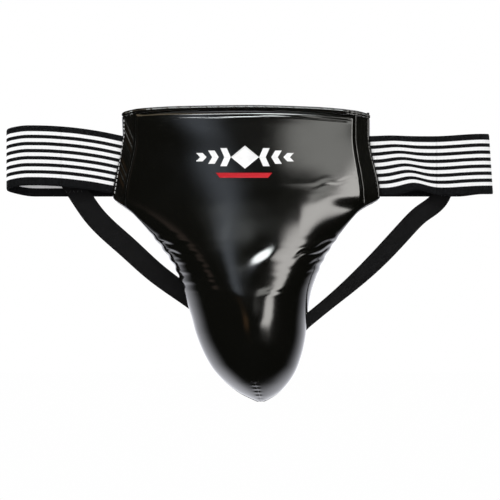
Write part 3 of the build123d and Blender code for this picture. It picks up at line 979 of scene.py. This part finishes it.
def build_strap(name, points, width, twist, narrow, leg, head, start, end, *nodes):
    """Narrow elastic from the waistband to the anchor, turned a little where it meets the cup."""
    pts = np.array(points, float)
    d = path_length(pts)
    fx, fz = spline(d, pts[:, 0]), spline(d, pts[:, 1])
    total = d[-1]
    ss = np.linspace(0, total, int(total / 1.8))
    x, z = fx(ss), fz(ss)
    dx, dz = np.gradient(x, ss), np.gradient(z, ss)
    size = np.hypot(dx, dz)
    dx, dz = dx / size, dz / size
    y = STRAP_HIGH_Y + (STRAP_LOW_Y - STRAP_HIGH_Y) * ss / total
    ahead = total - ss
    turn = smooth(12, 45, ahead) * (1 - smooth(60, 170, ahead))
    angle = math.radians(twist) * turn
    half = width / 2 * (1 - narrow * turn)
    ring = flat_ring(19)
    verts, s_values, t_values = [], [], []
    for i in range(len(ss)):
        wide = np.array([-dz[i] * math.cos(angle[i]), math.sin(angle[i]), dx[i] * math.cos(angle[i])])
        flat = np.cross(wide, [dx[i], 0, dz[i]])
        for share, side in ring:
            off = side * STRAP_HALF_THICK * edge_share((1 - abs(share)) * half[i], 0.7)
            verts.append(np.array([x[i], y[i], z[i]]) + wide * share * half[i] + flat * off)
            s_values.append(ss[i])
            t_values.append(share * 10)
    obj = make_object(name, verts, tube_faces(len(ss), len(ring)))
    attribute(obj, "along", s_values)
    attribute(obj, "across", t_values)
    paint(obj, STRAP)
    bend(obj, "black_elastic", leg, head, start, end, *nodes)


def build_straps():
    """Both leg straps, each from the waistband down to the anchor; points are (x, z)."""
    left = [(-177, -12), (-165, -30.5), (-152, -49), (-120, -79.5), (-90.5, -106), (-62, -127), (3, -175)]
    right = [(199, -16), (196, -28), (189, -37.5), (176, -47), (161, -61.5), (135, -89.5), (110, -113.5),
             (61, -154.5), (27, -183)]
    build_strap("leg_strap_left", left, 21.6, -20, 0.05, "left_leg", "left_leg_head",
                (-90, 0, -105), (-160, 0, -36), "left_leg_strap", "left_leg_strap_top")
    build_strap("leg_strap_right", right, 18.4, 36, 0.16, "right_leg", "right_leg_head",
                (130, 0, -95), (188, 0, -36), "right_leg_strap", "right_leg_strap_top")


def build_tacks():
    """Zigzag bar tacks at the strap heads, box stitching on the anchor, rows on the closure tab."""
    for name, node, body in (("left_head_tack", "left_strap_tack", "left_leg_head"),
                             ("right_head_tack", "right_strap_tack", "right_leg_head")):
        low, high = (np.array(c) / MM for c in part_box(node))
        marks = []
        for row in (0.25, 0.75):
            for k in range(5):
                x = low[0] + (high[0] - low[0]) * (k + 0.5) / 5
                z = low[2] + (high[2] - low[2]) * row
                marks.append(((x, STRAP_HIGH_Y - 1.1, z), (0.5, 0, 1 if k % 2 else -1), (0, -1, 0)))
        build_stitches(name, marks, DARK_THREAD, body, node)
    low, high = (np.array(c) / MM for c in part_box("leg_anchor"))
    a, b, c, d = low[0] + 3, high[0] - 3, low[2] + 3, high[2] - 3
    border = [(a, c), (b, c), (b, d), (a, d), (a, c), (b, d)]
    marks = run_marks(border, 4.0, lambda x, z: high[1] + 0.1, (0, 1, 0))
    build_stitches("anchor_stitching", marks, DARK_THREAD, "guard", "anchor_stitches")
    a, b, c = PEEL_X + 10, TAB_END - 7, 23.5
    border = [(a, -c), (b, -c), (b, c), (a, c), (a, -c)]
    marks = run_marks(border, 4.2, lambda x, z: TAB_Y + BAND_THICK / 2 + 0.1, (0, 1, 0))
    build_stitches("tab_stitching", marks, DARK_THREAD, "closure", "tab_stitches")


build_cover()
build_binding()
build_ornament()
build_seams()
build_back()
build_hem()
build_patch("anchor_patch", "leg_anchor", STRAP, "guard", "black_elastic")
build_patch("hook_tape", "hook_patch", HOOK, "closure", "black_hook_loop", 14.0, 0.05)
build_patch("loop_tape", "loop_patch", HOOK, "right_end", "black_hook_loop", 14.0, 0.05)
build_band()
build_straps()
build_tacks()
paint(frame["nodes"]["cup_shell"], PLASTIC)


# ------------------------------------------------------------------ studio
class WorldNodes(Nodes):
    """The same short node writer for the surroundings."""

    def __init__(self, world):
        world.use_nodes = True
        self.tree = world.node_tree

    def window(self, value, middle, half, soft):
        """1 inside middle +- half, fading to 0 over the soft width."""
        away = self.math("ABSOLUTE", self.math("SUBTRACT", value, middle))
        return self.ramp(away, half - soft / 2, half + soft / 2, 1.0, 0.0)


# what the glossy skin mirrors, in degrees to the right and up of the viewer: middle, half size and
# softness across, the same for height, brightness, tint
SOFTBOXES = [
    ((19, 9.5, 5), (10.5, 7, 5), 3.9, (1.0, 1.0, 0.95)),
    ((1, 14, 4), (49.0, 9.2, 3), 27.0, (0.95, 1.0, 1.0)),
    ((-8.5, 4.2, 7), (24, 17, 6), 1.3, (0.85, 0.95, 1.1)),
    ((-43, 5, 7), (14, 9, 8), 0.3, (1.25, 0.9, 0.75)),
    ((-8, 4.5, 4), (-9, 7, 5), 0.36, (1.5, 0.8, 0.35)),
    ((3, 9, 6), (14, 9, 6), 0.06, (1.0, 1.0, 1.0)),
    ((-60, 58, 10), (62, 17, 8), 1.5, (1.25, 1.0, 0.65)),
]
STRIP_TURN = 39.2                # how far right the bowed strip light reaches
STRIP_PEAK = 9.0                 # height of that place
STRIP_BOW = 0.022                # how fast it falls back above and below it
STRIP_ACROSS = (8.6, 6.0)        # half width, softness
STRIP_UP = (11.0, 22.0, 6.0)     # middle, half height, softness
STRIP_POWER = 10.0


def build_world():
    """White behind the object, dark in front with softboxes; even white light for dull surfaces."""
    world = bpy.data.worlds.new("studio")
    bpy.context.scene.world = world
    n = WorldNodes(world)
    world.cycles.sampling_method = "NONE"
    split = n.add("ShaderNodeSeparateXYZ")
    n.put(split.inputs[0], n.add("ShaderNodeTexCoord").outputs["Generated"])
    x, y, z = split.outputs
    turn = n.math("MULTIPLY", n.math("ARCTAN2", x, n.math("MULTIPLY", y, -1.0)), 180 / math.pi)
    rise = n.math("MULTIPLY", n.math("ARCSINE", z), 180 / math.pi)
    total = n.add("ShaderNodeCombineXYZ").outputs[0]
    for across, up, power, tint in SOFTBOXES:
        mask = n.math("MULTIPLY", n.window(turn, *across), n.window(rise, *up))
        total = add_tinted(n, total, n.math("MULTIPLY", mask, power), tint)
    # the main strip light is bowed: it is furthest right a little above eye height
    sag = n.math("SUBTRACT", rise, STRIP_PEAK)
    curl = n.math("MULTIPLY", n.math("MULTIPLY", sag, sag), STRIP_BOW)
    middle = n.math("SUBTRACT", STRIP_TURN, curl)
    mask = n.math("MULTIPLY", n.window(turn, middle, *STRIP_ACROSS), n.window(rise, *STRIP_UP))
    total = add_tinted(n, total, n.math("MULTIPLY", mask, STRIP_POWER), (1.0, 0.98, 0.94))
    # white surroundings behind the object, widest and brightest from below
    down = n.ramp(z, -0.9, -0.2, 1.0, 0.0)
    lean = n.math("SUBTRACT", n.math("MULTIPLY", down, n.ramp(x, -0.5, 0.5, 0.08, 0.36)),
                  n.ramp(x, 0.0, 0.7, 0.0, 0.15))
    back = n.ramp(n.math("ADD", y, lean), 0.03, 0.65)
    glow = n.math("MULTIPLY", back, n.math("ADD", n.math("MULTIPLY", down, 1.4), 1.5))
    total = add_tinted(n, total, glow, (0.97, 0.98, 1.05))
    path = n.add("ShaderNodeLightPath")
    even = n.ramp(z, -1.0, 1.0, 0.8, 1.02)
    light = n.add("ShaderNodeCombineXYZ")
    for socket in light.inputs:
        n.put(socket, even)
    color = n.mix(path.outputs["Is Glossy Ray"], light.outputs[0], total)
    color = n.mix(path.outputs["Is Camera Ray"], color, (1.0, 1.0, 1.0))
    shade = n.tree.nodes["Background"]
    n.put(shade.inputs["Color"], color)
    n.put(shade.inputs["Strength"], 1.0)


def add_tinted(n, total, strength, tint):
    """Add a tinted light of the given strength to what is already there."""
    light = n.make("ShaderNodeVectorMath", {0: tint, "Scale": strength}, 0, operation="SCALE")
    return n.make("ShaderNodeVectorMath", {0: total, 1: light}, 0, operation="ADD")


def build_light(name, place, aim, size, power):
    """Soft light that shapes the dull surfaces but isn't mirrored in the skin."""
    light = bpy.data.lights.new(name, "AREA")
    light.size = size
    light.energy = power
    obj = bpy.data.objects.new(name, light)
    bpy.context.scene.collection.objects.link(obj)
    obj.location = place
    obj.rotation_euler = (Vector(aim) - Vector(place)).to_track_quat("-Z", "Y").to_euler()
    obj.visible_glossy = False


def build_floor():
    """Plain white studio floor that runs into the white background."""
    reach, height = 6000, -450
    corners = [(i * reach, j * reach, height) for i, j in ((-1, -1), (1, -1), (1, 1), (-1, 1))]
    floor = make_object("studio_floor", corners, [(0, 1, 2, 3)])
    n = Nodes("floor_paper")
    grain = n.noise(n.place(), 300.0, 3.0)
    color = n.mix(grain, (0.99, 0.99, 0.99), (1.0, 1.0, 1.0))
    n.put(n.out.inputs["Emission Color"], color)
    n.put(n.out.inputs["Emission Strength"], 1.0)
    paint(floor, n.set(color=(0.0, 0.0, 0.0), rough=1.0, spec=0.0))
    floor.visible_glossy = False
    floor.visible_diffuse = False


def build_camera():
    """Straight on, at the height of the middle of the picture."""
    distance, frame_width = 3.0, 0.5
    cam = bpy.data.cameras.new("camera")
    cam.lens = cam.sensor_width * distance / frame_width
    cam.clip_end = 30
    obj = bpy.data.objects.new("camera", cam)
    bpy.context.scene.collection.objects.link(obj)
    obj.location = (0.004, -distance, -0.0835)
    obj.rotation_euler = (math.pi / 2, 0, 0)
    bpy.context.scene.camera = obj
    bpy.context.scene.view_settings.view_transform = "Standard"


build_world()
build_light("soft_key", (-1.2, -2.0, 1.6), (0.0, 0.0, -0.05), 1.4, 22)
build_light("soft_back", (-1.9, 1.0, 1.5), (0.0, 0.0, -0.1), 0.8, 12)
build_floor()
build_camera()
